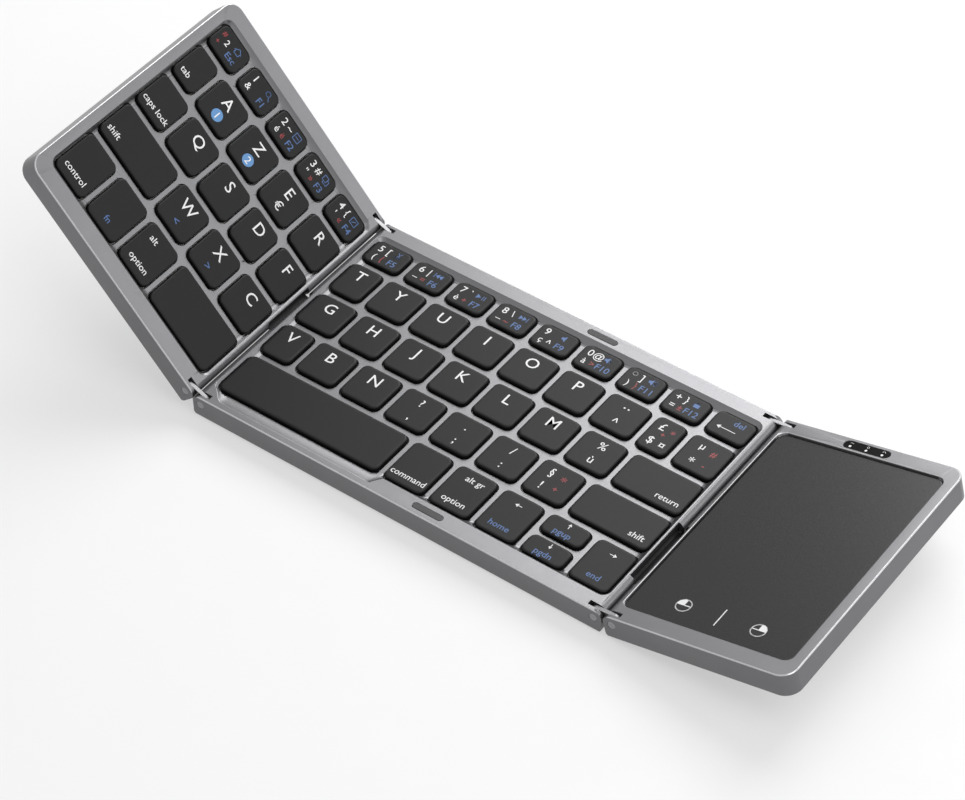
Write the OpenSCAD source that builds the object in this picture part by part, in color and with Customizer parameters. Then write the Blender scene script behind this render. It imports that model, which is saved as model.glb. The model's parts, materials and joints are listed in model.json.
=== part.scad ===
// Three-panel folding keyboard with a touchpad, standing open on its centre panel.
// Millimetres. X runs along the rows, Y from the space bar to the number row, Z up.
// The origin lies under the middle of the centre panel, on the surface that the feet stand on.

/* [Panels] */
// Width of the centre panel
centre_w = 153.3; // [136:0.1:200]
// Width of the left wing, from its hinge end to its outer edge
left_w = 88.5; // [79:0.1:110]
// Width of the right wing, from its hinge end to its outer edge
right_w = 64.5; // [56:0.1:90]
// Depth of every panel, front to rear
panel_d = 97; // [87:0.1:110]
// Thickness of every panel without its feet
panel_t = 8.1; // [7.6:0.1:10]
// Corner radius at the outer ends of the wings
corner_r = 5; // [2:0.1:8]
// Wall of the case around the cavity
wall = 1.6; // [1.2:0.1:2]

/* [Pose as drawn] */
// Angle of the left wing above the table
left_lift = 48.7; // [0:0.1:170]
// Angle of the right wing above the table
right_lift = 13.7; // [0:0.1:170]

/* [Hinges] */
// Distance between the two pins of a hinge link
pin_span = 6.5; // [6.4:0.1:7.5]
// Pin axis to the panel's end face
pin_in = 2.9; // [2.6:0.1:3.1]
// Pin axis below the rim plane
pin_down = 3.1; // [2.8:0.05:3.15]
// Radius of a hinge pin
pin_r = 1; // [0.8:0.05:1.2]
// Running clearance between a pin and its link, on the radius
pin_play = 0.04; // [0.02:0.01:0.08]
// Radius of the rounded ends of a hinge link
link_r = 2.6; // [2.2:0.05:2.7]
// Thickness of a hinge link
link_t = 1.3; // [1:0.05:1.6]
// Side clearance of a link in its slot
link_play = 0.2; // [0.1:0.05:0.3]
// Thickness of the outer cheek that covers a link
cheek_t = 1.3; // [1:0.05:1.6]

/* [Keys] */
// Width of a letter key
key_w = 14.8; // [14:0.1:15.5]
// Depth of a letter key
key_d = 14.6; // [14:0.1:15]
// Gap between neighbouring keys in a row
key_gap = 2.49; // [2.2:0.01:2.8]
// Gap between two rows
row_gap = 2.67; // [2.4:0.01:3]
// Depth of the keys in the number row
number_d = 10.1; // [9:0.1:11]
// Width of the keys in the number row
number_w = 14; // [13:0.1:14.5]
// Depth of the keys in the space bar row
space_d = 17.6; // [16:0.1:18]
// Height of a keycap from its skirt to its top
key_h = 1.8; // [1.6:0.05:2]
// Key tops below the rim plane
key_drop = 0.3; // [0.2:0.05:0.5]
// Travel of a key
key_travel = 1.2; // [0.8:0.05:1.3]
// Corner radius of a keycap
key_r = 2.2; // [1.5:0.1:2.6]
// Wall of a keycap
key_wall = 0.8; // [0.6:0.05:1]
// Clearance around a keycap in its opening
key_play = 0.35; // [0.2:0.05:0.45]

/* [Key well] */
// Rim behind the well
rear_rim = 5.5; // [5.3:0.1:6]
// Rim in front of the well
front_rim = 6; // [5.5:0.1:6.5]
// Rim between the well and a panel's hinge end
hinge_rim = 2.65; // [2.4:0.05:3]
// Rim between the well and a wing's outer end
outer_rim = 3.7; // [3.4:0.1:5]
// Depth of the well below the rim plane
web_drop = 1.6; // [1.3:0.05:1.8]
// Thickness of the web between the keys
web_t = 0.8; // [0.6:0.05:1]
// Well edge to the nearest keys, on the left, right and rear
key_margin = 1.2; // [1:0.05:1.5]
// Corner radius of the well
well_r = 3; // [2:0.1:4]

/* [Underside] */
// Thickness of the textured covering
skin_t = 0.5; // [0.3:0.05:0.8]
// Thickness of the base plate
base_t = 1; // [0.8:0.05:1.2]
// Metal edge left around the covering
edge_w = 1; // [0.9:0.05:1.2]
// Length of a foot
foot_l = 12; // [8:0.5:16]
// Width of a foot
foot_w = 2.3; // [1.8:0.1:4]
// Height of a foot
foot_h = 0.6; // [0.4:0.05:1.5]
// Radius of a cover screw
screw_r = 0.7; // [0.6:0.05:0.9]

/* [Touchpad] */
// Touchpad surface below the rim plane
pad_drop = 0.8; // [0.6:0.05:1]
// Thickness of the touchpad
pad_t = 1.2; // [1:0.05:1.3]
// Drop of the touchpad's front edge when it is clicked
pad_click = 0.4; // [0.2:0.05:0.45]

/* [Hidden] */
$fn = 48;

eps = 0.05;
fit = 0.1;
half_w = centre_w / 2;
half_d = panel_d / 2;
pin_z = panel_t - pin_down;
well_rear = half_d - rear_rim;
well_front = half_d - front_rim;

// Heights above a panel's underside
web_top = panel_t - web_drop;
web_low = web_top - web_t;
ledge_z = skin_t + base_t;
cap_top = panel_t - key_drop;
cap_low = cap_top - key_h;
cap_roof = cap_top - key_wall;
sheet_t = 0.2;
sheet_top = cap_low - key_travel - 0.2;
deck_t = 0.4;
deck_top = sheet_top - sheet_t;

// Hinge slots, measured from the panel's middle
slot_out = half_d - cheek_t;
slot_in = slot_out - link_t - 2 * link_play;
slot_r = link_r + link_play;
pin_hold = 1.6;
pin_len = half_d - slot_in + pin_hold;
ear_x = pin_in + slot_r + wall;

// Seat of the key deck, between the hinge pins of the front and the rear
deck_side = slot_in - pin_hold - 2 * fit;
deck_edge = wall + 1;
deck_ledge = 0.6;

// Key widths row by row; each row is stretched or narrowed to fill its field
first_w = 11.78;
narrow_w = 11.4;
currency_w = 10.5;
star_w = 14.6;
return_w = 24.57;
shift_w = 27.97;
left_shift_w = 27.88;
space_w = 61.55;
centre_mod_w = 14.4;
arrow_w = 14.7;
end_w = 13.7;
tab_w = 10.59;
caps_w = 13.79;
home_w = 13.2;
modifier_w = 14.2;
short_space_w = 29.68;
centre_rows = [
  [for (i = [1:9]) number_w],
  [first_w, key_w, key_w, key_w, key_w, key_w, key_w, currency_w, star_w],
  [key_w, key_w, key_w, key_w, key_w, key_w, key_w, return_w],
  [narrow_w, key_w, key_w, key_w, key_w, key_w, key_w, shift_w],
  [space_w, centre_mod_w, centre_mod_w, centre_mod_w, arrow_w, end_w]
];
left_rows = [
  [for (i = [1:5]) number_w],
  [tab_w, key_w, key_w, key_w, key_w],
  [caps_w, key_w, key_w, home_w, home_w],
  [left_shift_w, key_w, key_w, key_w],
  [modifier_w, modifier_w, modifier_w, short_space_w]
];

// The first n sizes of a list together, and a list stretched to fill a length with its gaps
function total(v, n) = n <= 0 ? 0 : v[n - 1] + total(v, n - 1);
function fitted(v, length, gap) =
  let (stretch = (length - gap * (len(v) - 1)) / total(v, len(v)))
  [for (size = v) size * stretch];

// Depths of the rows, from the rear
rear_margin = key_margin + 0.75;
front_margin = key_margin + 0.17;
row_depth = fitted([number_d, key_d, key_d, key_d, space_d],
                   well_rear + well_front - rear_margin - front_margin, row_gap);
function row_rear(i) = well_rear - rear_margin - total(row_depth, i) - row_gap * i;

// One key as [centre x, centre y, width, depth] in its panel's frame
function key_at(rows, x0, field, i, k) =
  let (row = fitted(rows[i], field, key_gap))
  [x0 + total(row, k) + key_gap * k + row[k] / 2, row_rear(i) - row_depth[i] / 2, row[k], row_depth[i]];

// Edges of the well and of the key field in each panel's frame
centre_well = [-half_w + hinge_rim, half_w - hinge_rim];
left_well = [-left_w + outer_rim, -hinge_rim];
right_well = [hinge_rim, right_w - outer_rim];
function field_x0(well) = well[0] + key_margin;
function field_w(well) = well[1] - well[0] - 2 * key_margin;
function centre_key(i, k) = key_at(centre_rows, field_x0(centre_well), field_w(centre_well), i, k);
function left_key(i, k) = key_at(left_rows, field_x0(left_well), field_w(left_well), i, k);

// The two arrow keys that share one place, split into halves
arrow_col = 4;
arrow_gap = 1.9;
arrow_cell = centre_key(4, arrow_col);
arrow_d = (row_depth[4] - arrow_gap) / 2;
function arrow_half(s) =
  [arrow_cell[0], arrow_cell[1] + s * (arrow_d + arrow_gap) / 2, arrow_cell[2], arrow_d];

centre_keys = [
  for (i = [0:4]) for (k = [0:len(centre_rows[i]) - 1])
    if (i < 4 || k != arrow_col) centre_key(i, k),
  arrow_half(1),
  arrow_half(-1)
];
left_keys = [for (i = [0:4]) for (k = [0:len(left_rows[i]) - 1]) left_key(i, k)];

// ---------- placing the wings ----------

// A wing's frame has its hinge end at x = 0 and its underside at z = 0
module place_left() {
  translate([-half_w + pin_in, 0, foot_h + pin_z])
    rotate([0, left_lift / 2, 0])
      translate([-pin_span, 0, 0])
        rotate([0, left_lift / 2, 0])
          translate([pin_in, 0, -pin_z])
            children();
}

module place_right() {
  translate([half_w - pin_in, 0, foot_h + pin_z])
    rotate([0, -right_lift / 2, 0])
      translate([pin_span, 0, 0])
        rotate([0, -right_lift / 2, 0])
          translate([-pin_in, 0, -pin_z])
            children();
}

module place_centre() {
  translate([0, 0, foot_h]) children();
}

// ---------- shapes that repeat ----------

module rounded(w, d, r) {
  square([w - 2 * r, d], center = true);
  square([w, d - 2 * r], center = true);
  for (x = [-1, 1], y = [-1, 1])
    translate([x * (w / 2 - r), y * (d / 2 - r)])
      circle(r);
}

module pill(l, w) {
  square([l - w, w], center = true);
  for (s = [-1, 1])
    translate([s * (l - w) / 2, 0])
      circle(w / 2);
}

// A rounded box between two x and two y limits
module rounded_box(x0, x1, y0, y1, z0, z1, r) {
  translate([(x0 + x1) / 2, (y0 + y1) / 2, z0])
    linear_extrude(z1 - z0)
      rounded(x1 - x0, y1 - y0, r);
}

module box(x0, x1, y0, y1, z0, z1) {
  translate([x0, y0, z0])
    cube([x1 - x0, y1 - y0, z1 - z0]);
}

// Outline of a panel: square at a hinge end, rounded at an outer end
module panel_outline(x0, x1, round_left, round_right, inset = 0) {
  d = panel_d - 2 * inset;
  r = corner_r - inset;
  difference() {
    translate([x0 + inset, -d / 2])
      square([x1 - x0 - 2 * inset, d]);
    if (round_left)
      outline_corners(x0 + inset, 1, d, r);
    if (round_right)
      outline_corners(x1 - inset, -1, d, r);
  }
}

module outline_corners(x, s, d, r) {
  for (y = [-1, 1])
    difference() {
      translate([x + s * (r / 2 - 0.5), y * (d / 2 - r / 2 + 0.5)])
        square([r + 1, r + 1], center = true);
      translate([x + s * r, y * (d / 2 - r)])
        circle(r);
    }
}

// What is cut from a hinge end so that it turns past its neighbour: s is 1 on a right-hand end
module hinge_end_cut(x_end, s) {
  translate([x_end - s * pin_in, 0, pin_z])
    rotate([90, 0, 0])
      difference() {
        translate([s > 0 ? 0 : -pin_down - 1, 0, -half_d - 1])
          cube([pin_down + 1, pin_down + 1, panel_d + 2]);
        cylinder(r = pin_down, h = panel_d + 4, center = true);
      }
}

// Slots and pin bores for the two links of a hinge end
module link_slots(x_end, s) {
  for (y = [-1, 1]) {
    x_in = x_end - s * (pin_in + slot_r);
    box(min(x_in, x_end + s), max(x_in, x_end + s),
        y > 0 ? slot_in : -slot_out, y > 0 ? slot_out : -slot_in,
        pin_z - slot_r, panel_t + 1);
    pin_bore(x_end - s * pin_in, y);
  }
}

module pin_bore(x, y) {
  translate([x, y * (half_d + 1), pin_z])
    rotate([90 * y, 0, 0])
      cylinder(r = pin_r + 0.02, h = pin_len + 1);
}

module hinge_pin(x, y) {
  translate([x, y * (half_d - fit), pin_z])
    rotate([90 * y, 0, 0])
      cylinder(r = pin_r, h = pin_len - fit);
}

// Screw places of a panel, under its front and rear rims
screw_y = half_d - edge_w - 2.6;
boss_r = 1.9;
head_r = 1.3;
head_h = 0.5;
screw_top = ledge_z + 2.6;
centre_screw_x = [-half_w + 12, -4, half_w - 12];
left_screw_x = [-left_w + 10, -12];
right_screw_x = [12, right_w - 10];

module each_screw(xs) {
  for (x = xs, y = [-1, 1])
    translate([x, y * screw_y, 0])
      children();
}

module screws(xs) {
  each_screw(xs) {
    translate([0, 0, skin_t])
      cylinder(r = head_r, h = head_h);
    translate([0, 0, skin_t + head_h - eps])
      cylinder(r = screw_r, h = screw_top - skin_t - head_h + eps);
  }
}

// Cavity under the rims and the web, with a solid block left at each hinge slot
module cavity(x0, x1, hinge_left, hinge_right, top) {
  box(x0 + deck_edge + fit, x1 - deck_edge - fit, -deck_side, deck_side, ledge_z - eps, deck_top);
  wide_x0 = hinge_left ? x0 + ear_x : x0 + outer_rim;
  wide_x1 = hinge_right ? x1 - ear_x : x1 - outer_rim;
  difference() {
    box(wide_x0, wide_x1, -half_d + wall, half_d - wall, ledge_z - eps, deck_top);
    children();
  }
  box(x0 + deck_edge + deck_ledge, x1 - deck_edge - deck_ledge,
      -deck_side + deck_ledge, deck_side - deck_ledge, deck_top - eps, top);
}

module bosses(xs) {
  each_screw(xs)
    translate([0, 0, ledge_z - 1])
      cylinder(r = boss_r, h = panel_t);
}

// Case of a panel without its openings
module case_blank(x0, x1, hinge_left, hinge_right, top, xs) {
  difference() {
    linear_extrude(panel_t)
      panel_outline(x0, x1, !hinge_left, !hinge_right);
    translate([0, 0, -1])
      linear_extrude(ledge_z + 1)
        panel_outline(x0, x1, !hinge_left, !hinge_right, edge_w);
    cavity(x0, x1, hinge_left, hinge_right, top)
      bosses(xs);
    each_screw(xs)
      cylinder(r = screw_r + 0.02, h = screw_top + 0.2);
    if (hinge_left) {
      hinge_end_cut(x0, -1);
      link_slots(x0, -1);
    }
    if (hinge_right) {
      hinge_end_cut(x1, 1);
      link_slots(x1, 1);
    }
  }
}

module base_plate(x0, x1, hinge_left, hinge_right, xs) {
  difference() {
    translate([0, 0, skin_t])
      linear_extrude(base_t)
        panel_outline(x0, x1, !hinge_left, !hinge_right, edge_w + fit);
    each_screw(xs) {
      cylinder(r = head_r + fit, h = skin_t + head_h);
      cylinder(r = screw_r + fit, h = ledge_z + 1);
    }
  }
}

// Four feet near a panel's corners, standing on the base plate in pockets of the covering
foot_in_x = 9;
foot_in_y = 5;
module each_foot(x0, x1) {
  for (x = [x0 + foot_in_x, x1 - foot_in_x], y = [-1, 1])
    translate([x, y * (half_d - foot_in_y), -foot_h])
      children();
}

module feet(x0, x1) {
  each_foot(x0, x1)
    linear_extrude(foot_h + skin_t)
      pill(foot_l, foot_w);
}

module skin(x0, x1, hinge_left, hinge_right) {
  difference() {
    linear_extrude(skin_t)
      panel_outline(x0, x1, !hinge_left, !hinge_right, edge_w + fit);
    each_foot(x0, x1)
      linear_extrude(foot_h + skin_t + 1)
        pill(foot_l + 2 * fit, foot_w + 2 * fit);
  }
}

module keycap(key) {
  translate([key[0], key[1], cap_low])
    difference() {
      linear_extrude(key_h)
        rounded(key[2], key[3], key_r);
      translate([0, 0, -1])
        linear_extrude(key_h - key_wall + 1)
          rounded(key[2] - 2 * key_wall, key[3] - 2 * key_wall, key_r - key_wall);
    }
}

module key_holes(keys) {
  for (key = keys)
    translate([key[0], key[1], web_low - 1])
      linear_extrude(web_t + web_drop)
        rounded(key[2] + 2 * key_play, key[3] + 2 * key_play, key_r + key_play);
}

module well(span, drop) {
  rounded_box(span[0], span[1], -well_front, well_rear, panel_t - drop, panel_t + 1, well_r);
}

// Steel plate that carries the key mechanism
module key_deck(x0, x1) {
  side = deck_side - fit;
  edge = deck_edge + 2 * fit;
  box(x0 + edge, x1 - edge, -side, side, deck_top - deck_t, deck_top);
}

// Rubber sheet with one dome under each key
dome_r = 2.5;
dome_taper = 1.1;
dome_wall = 0.4;
dome_roof = 0.4;
function dome_base(key) = min(dome_r, lever_l(key) / 2 - lever_bar - 0.3);
module dome_sheet(x0, x1, keys) {
  side = deck_side - deck_ledge - 2 * fit;
  edge = deck_edge + deck_ledge + 2 * fit;
  dome_h = cap_roof - fit - sheet_top;
  difference() {
    union() {
      box(x0 + edge, x1 - edge, -side, side, deck_top, sheet_top);
      for (key = keys)
        translate([key[0], key[1], sheet_top - eps])
          cylinder(r1 = dome_base(key), r2 = dome_base(key) - dome_taper, h = dome_h + eps);
    }
    for (key = keys)
      translate([key[0], key[1], deck_top - eps])
        cylinder(r1 = dome_base(key) - dome_wall, r2 = max(dome_base(key) - dome_taper - dome_wall, eps),
                 h = sheet_t + dome_h - dome_roof);
  }
}

// Crossed pair of levers that keeps a key level
lever_t = 0.35;
lever_bar = 0.7;
lever_gap = 0.2;
lever_end = 0.6;
lever_side = 0.4;
function lever_l(key) = min(key[3], key_d) - 2 * key_wall - 2 * lever_end;
function lever_w(key) = min(key[2], key_w) - 2 * key_wall - 2 * lever_side;
module lever(w, l, tilt) {
  rotate([tilt, 0, 0])
    difference() {
      cube([w, l, lever_t], center = true);
      cube([w - 2 * lever_bar, l - 2 * lever_bar, 1], center = true);
    }
}

module scissors(keys) {
  mid = (sheet_top + cap_roof) / 2;
  for (key = keys) {
    l = lever_l(key);
    rise = (cap_roof - sheet_top) / 2 - lever_t / 2 - fit;
    tilt = asin(2 * rise / l);
    translate([key[0], key[1], mid]) {
      lever(lever_w(key), l, tilt);
      lever(lever_w(key) - 2 * lever_bar - 2 * lever_gap, l, -tilt);
    }
  }
}

// ---------- flexible circuit through a hinge ----------

flex_t = 0.3;
flex_reach = 1.7;
flex_slot = 2;
flex_room = 1.9;
left_flex_y = [-11, 9];
right_flex_y = [-31, -5.5];

// Recess for the flexible circuit in a hinge end: s is 1 on a right-hand end
module flex_cut(x_end, s, ys) {
  x_in = x_end - s * flex_slot;
  x_far = x_end - s * (pin_in + flex_reach);
  box(min(x_in, x_end + s), max(x_in, x_end + s), ys[0], ys[1], pin_z - 1.2, panel_t + 1);
  box(min(x_far, x_end), max(x_far, x_end), ys[0], ys[1], pin_z - flex_room / 2, pin_z + flex_room / 2);
}

// Band from one panel across the link line to the other, drawn around the centre panel's pin
module flex_band(s, lift, ys) {
  band_y = [ys[0] + 0.5, ys[1] - 0.5];
  translate([s * (half_w - pin_in), band_y[1], foot_h + pin_z])
    rotate([90, 0, 0])
      linear_extrude(band_y[1] - band_y[0]) {
        flex_run([0, 0], s > 0 ? 180 : 0, flex_reach);
        flex_run([0, 0], s > 0 ? lift / 2 : 180 - lift / 2, pin_span);
        flex_run([s * pin_span * cos(lift / 2), pin_span * sin(lift / 2)],
                 s > 0 ? lift : 180 - lift, flex_reach);
      }
}

module flex_run(from, angle, length) {
  translate(from)
    rotate(angle) {
      translate([0, -flex_t / 2])
        square([length, flex_t]);
      circle(flex_t / 2);
    }
}

// ---------- hinge links ----------

module hinge_links(s, lift) {
  for (y = [-1, 1])
    translate([s * (half_w - pin_in), y * (slot_in + slot_out) / 2, foot_h + pin_z])
      rotate([90, 0, 0])
        rotate(s > 0 ? lift / 2 : 180 - lift / 2)
          difference() {
            linear_extrude(link_t, center = true)
              translate([pin_span / 2, 0])
                pill(pin_span + 2 * link_r, 2 * link_r);
            for (x = [0, pin_span])
              translate([x, 0, 0])
                cylinder(r = pin_r + pin_play, h = link_t + 1, center = true);
          }
}

// ---------- centre panel ----------

// Bevel in the front rim that clears the thumb at the space bar
thumb_x0 = centre_key(4, 0)[0] - centre_key(4, 0)[2] / 2 + 2.8;
thumb_x1 = centre_key(4, 0)[0] + centre_key(4, 0)[2] / 2 + 2.75;
thumb_end0 = 5.3;
thumb_end1 = 3.1;
thumb_d = 3.8;
thumb_drop = 1.2;
module thumb_bevel() {
  intersection() {
    translate([0, 0, panel_t - thumb_drop - 1])
      linear_extrude(thumb_drop + 2)
        polygon([[thumb_x0, -well_front + 1], [thumb_x0, -well_front],
                 [thumb_x0 + thumb_end0, -well_front - thumb_d],
                 [thumb_x1 - thumb_end1, -well_front - thumb_d],
                 [thumb_x1, -well_front], [thumb_x1, -well_front + 1]]);
    translate([thumb_x0, -well_front, panel_t])
      rotate([90, 0, 90])
        linear_extrude(thumb_x1 - thumb_x0)
          polygon([[-thumb_d, 0], [0, -thumb_drop], [2, -thumb_drop], [2, 1], [-thumb_d, 1]]);
  }
}

// Bumpers on the rims where the tips of the folded wings come to rest
bumper_x = left_w - half_w;
bumper_l = 11.2;
bumper_w = 2.4;
bumper_y = half_d - 3.1;
bumper_deep = 0.8;
bumper_proud = 0.1;
module each_bumper() {
  for (y = [-1, 1])
    translate([bumper_x, y * bumper_y, panel_t - bumper_deep])
      children();
}

module centre_case() {
  color("silver")
    place_centre()
      difference() {
        case_blank(-half_w, half_w, true, true, web_low, centre_screw_x);
        well(centre_well, web_drop);
        key_holes(centre_keys);
        thumb_bevel();
        flex_cut(-half_w, -1, left_flex_y);
        flex_cut(half_w, 1, right_flex_y);
        each_bumper()
          linear_extrude(bumper_deep + 1)
            pill(bumper_l + fit, bumper_w + fit);
      }
}

module centre_base() {
  color("dimgray")
    place_centre()
      base_plate(-half_w, half_w, true, true, centre_screw_x);
}

module centre_skin() {
  color("darkslategray")
    place_centre()
      skin(-half_w, half_w, true, true);
}

module centre_feet() {
  color("black")
    place_centre()
      feet(-half_w, half_w);
}

module centre_key_deck() {
  color("lightsteelblue")
    place_centre()
      key_deck(-half_w, half_w);
}

module centre_dome_sheet() {
  color("ivory")
    place_centre()
      dome_sheet(-half_w, half_w, centre_keys);
}

module centre_scissors() {
  color("white")
    place_centre()
      scissors(centre_keys);
}

module centre_bumpers() {
  color("dimgray")
    place_centre()
      each_bumper()
        linear_extrude(bumper_deep + bumper_proud)
          pill(bumper_l, bumper_w);
}

module centre_hinge_pins() {
  color("gainsboro")
    place_centre()
      for (s = [-1, 1], y = [-1, 1])
        hinge_pin(s * (half_w - pin_in), y);
}

module centre_screws() {
  color("gray")
    place_centre()
      screws(centre_screw_x);
}

module centre_cap(i, k) {
  color([0.2, 0.2, 0.21])
    place_centre()
      keycap(centre_key(i, k));
}

module keys_numbers_centre() {
  for (k = [0:7]) centre_cap(0, k);
}

module keys_upper_centre() {
  for (k = [0:8]) centre_cap(1, k);
}

module keys_home_centre() {
  for (k = [0:6]) centre_cap(2, k);
}

module keys_lower_centre() {
  for (k = [0:6]) centre_cap(3, k);
}

module key_backspace() {
  centre_cap(0, 8);
}

module key_return() {
  centre_cap(2, 7);
}

module key_shift_right() {
  centre_cap(3, 7);
}

module key_space_right() {
  centre_cap(4, 0);
}

module key_command() {
  centre_cap(4, 1);
}

module key_alt_gr() {
  centre_cap(4, 2);
}

module key_arrow_left() {
  centre_cap(4, 3);
}

module key_arrow_right() {
  centre_cap(4, 5);
}

module key_arrow_up() {
  color([0.2, 0.2, 0.21])
    place_centre()
      keycap(arrow_half(1));
}

module key_arrow_down() {
  color([0.2, 0.2, 0.21])
    place_centre()
      keycap(arrow_half(-1));
}

// ---------- left wing ----------

module left_case() {
  color("gray")
    place_left()
      difference() {
        case_blank(-left_w, 0, false, true, web_low, left_screw_x);
        well(left_well, web_drop);
        key_holes(left_keys);
        flex_cut(0, 1, left_flex_y);
      }
}

module left_base() {
  color("dimgray")
    place_left()
      base_plate(-left_w, 0, false, true, left_screw_x);
}

module left_skin() {
  color("darkslategray")
    place_left()
      skin(-left_w, 0, false, true);
}

module left_feet() {
  color("black")
    place_left()
      feet(-left_w, 0);
}

module left_key_deck() {
  color("lightsteelblue")
    place_left()
      key_deck(-left_w, 0);
}

module left_dome_sheet() {
  color("ivory")
    place_left()
      dome_sheet(-left_w, 0, left_keys);
}

module left_scissors() {
  color("white")
    place_left()
      scissors(left_keys);
}

module left_hinge_pins() {
  color("gainsboro")
    place_left()
      for (y = [-1, 1])
        hinge_pin(-pin_in, y);
}

module left_screws() {
  color("gray")
    place_left()
      screws(left_screw_x);
}

module left_cap(i, k) {
  color([0.2, 0.2, 0.21])
    place_left()
      keycap(left_key(i, k));
}

module keys_numbers_left() {
  for (k = [0:4]) left_cap(0, k);
}

module keys_upper_left() {
  for (k = [1:4]) left_cap(1, k);
}

module keys_home_left() {
  for (k = [1:4]) left_cap(2, k);
}

module keys_lower_left() {
  for (k = [1:3]) left_cap(3, k);
}

module key_tab() {
  left_cap(1, 0);
}

module key_caps_lock() {
  left_cap(2, 0);
}

module key_shift_left() {
  left_cap(3, 0);
}

module key_control() {
  left_cap(4, 0);
}

module key_fn() {
  left_cap(4, 1);
}

module key_option_left() {
  left_cap(4, 2);
}

module key_space_left() {
  left_cap(4, 3);
}

// ---------- right wing ----------

pad_top = panel_t - pad_drop;
pad_low = pad_top - pad_t;
pad_play = 0.2;
pad_lip = 1.5;
pad_seat = pad_low - pad_click - 0.15;
pad_rest = 0.03;
pivot_w = 1.2;
sensor_t = 0.6;
window_x = (right_well[0] + right_well[1]) / 2;
window_y = half_d - 3;
window_l = 16.3;
window_w = 3.4;
window_t = 0.9;
led_pitch = 5.6;

// Controls in the rear edge: the switch near the hinge end, the port near the outer end
switch_x = 19.5;
switch_slot_l = 9;
switch_slot_h = 2.4;
switch_travel = 2.5;
knob_l = 3.6;
knob_h = 1.9;
knob_sunk = 0.2;
knob_deep = 2.8;
port_x = right_w - 17.2;
port_w = 7.6;
port_h = 2.7;
port_l = 5.2;
port_wall = 0.4;
control_z = 3.6;
board_z = ledge_z;
board_t = 0.8;
chip_w = 11;
chip_t = 1;
lamp_r = 0.8;
lamp_play = 0.1;

// What lies on the base plate keeps this far from the hinge end and from the outer end
inner_x0 = 9;
inner_x1 = 8;
battery_gap = 4;
battery_t = 2.4;

module right_case() {
  color("gray")
    place_right()
      difference() {
        case_blank(0, right_w, true, false, deck_top, right_screw_x);
        well(right_well, panel_t - pad_low + pad_rest);
        rounded_box(right_well[0], right_well[1], -well_front, well_rear - pivot_w,
                    pad_seat, panel_t, well_r);
        rounded_box(right_well[0] + pad_lip, right_well[1] - pad_lip,
                    -well_front + pad_lip, well_rear - pad_lip,
                    deck_top - 1, panel_t, well_r - pad_lip);
        flex_cut(0, -1, right_flex_y);
        translate([window_x, window_y, panel_t - window_t])
          linear_extrude(window_t + 1)
            pill(window_l + fit, window_w + fit);
        for (k = [-1:1])
          translate([window_x + k * led_pitch, window_y, deck_top - 1])
            cylinder(r = lamp_r + lamp_play, h = panel_t);
        box(switch_x - switch_slot_l / 2, switch_x + switch_slot_l / 2, half_d - knob_deep - fit, half_d + 1,
            control_z - switch_slot_h / 2, control_z + switch_slot_h / 2);
        box(port_x - port_w / 2 - fit, port_x + port_w / 2 + fit, half_d - port_l - fit, half_d + 1,
            control_z - port_h / 2 - fit, control_z + port_h / 2 + fit);
      }
}

module right_base() {
  color("dimgray")
    place_right()
      base_plate(0, right_w, true, false, right_screw_x);
}

module right_skin() {
  color("darkslategray")
    place_right()
      skin(0, right_w, true, false);
}

module right_feet() {
  color("black")
    place_right()
      feet(0, right_w);
}

// Touch surface with its sensor board; it tips about its rear edge
module touchpad() {
  color([0.27, 0.27, 0.28])
    place_right() {
      rounded_box(right_well[0] + pad_play, right_well[1] - pad_play,
                  -well_front + pad_play, well_rear - pad_play, pad_low, pad_top, well_r - pad_play);
      inset = pad_lip + 0.6;
      box(right_well[0] + flex_reach + 3, right_well[1] - inset, -well_front + inset,
          well_rear - inset - pivot_w, pad_low - sensor_t, pad_low + eps);
    }
}

module battery() {
  color("lightgray")
    place_right()
      rounded_box(inner_x0, right_w - inner_x1, -well_front + 2.5, -battery_gap, ledge_z,
                  ledge_z + battery_t, 1);
}

module main_board() {
  color("darkgreen")
    place_right()
      union() {
        box(inner_x0, right_w - inner_x1, 0, deck_side - 1, board_z, board_z + board_t);
        box(window_x - window_l / 2, window_x + window_l / 2, 0, half_d - wall - 4 * fit,
            board_z, board_z + board_t);
        box(window_x - chip_w, window_x, chip_w, 2 * chip_w, board_z, board_z + board_t + chip_t);
        for (k = [-1:1])
          translate([window_x + k * led_pitch, window_y, board_z])
            cylinder(r = lamp_r, h = panel_t - window_t - lamp_play - board_z);
      }
}

module charging_port() {
  color("silver")
    place_right()
      difference() {
        box(port_x - port_w / 2, port_x + port_w / 2, half_d - port_l, half_d - knob_sunk,
            control_z - port_h / 2, control_z + port_h / 2);
        box(port_x - port_w / 2 + port_wall, port_x + port_w / 2 - port_wall,
            half_d - port_l + port_wall, half_d + 1,
            control_z - port_h / 2 + port_wall, control_z + port_h / 2 - port_wall);
      }
}

module power_switch() {
  color([0.15, 0.15, 0.15])
    place_right()
      box(switch_x - knob_l / 2 - switch_travel / 2, switch_x + knob_l / 2 - switch_travel / 2,
          half_d - knob_deep, half_d - knob_sunk, control_z - knob_h / 2, control_z + knob_h / 2);
}

module indicator_window() {
  color("black")
    place_right()
      translate([window_x, window_y, panel_t - window_t])
        linear_extrude(window_t - 0.1)
          pill(window_l, window_w);
}

module right_hinge_pins() {
  color("gainsboro")
    place_right()
      for (y = [-1, 1])
        hinge_pin(pin_in, y);
}

module right_screws() {
  color("gray")
    place_right()
      screws(right_screw_x);
}

// ---------- between the panels ----------

module left_hinge_links() {
  color("gainsboro")
    hinge_links(-1, left_lift);
}

module right_hinge_links() {
  color("gainsboro")
    hinge_links(1, right_lift);
}

module left_flex() {
  color("dimgray")
    flex_band(-1, left_lift, left_flex_y);
}

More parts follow.
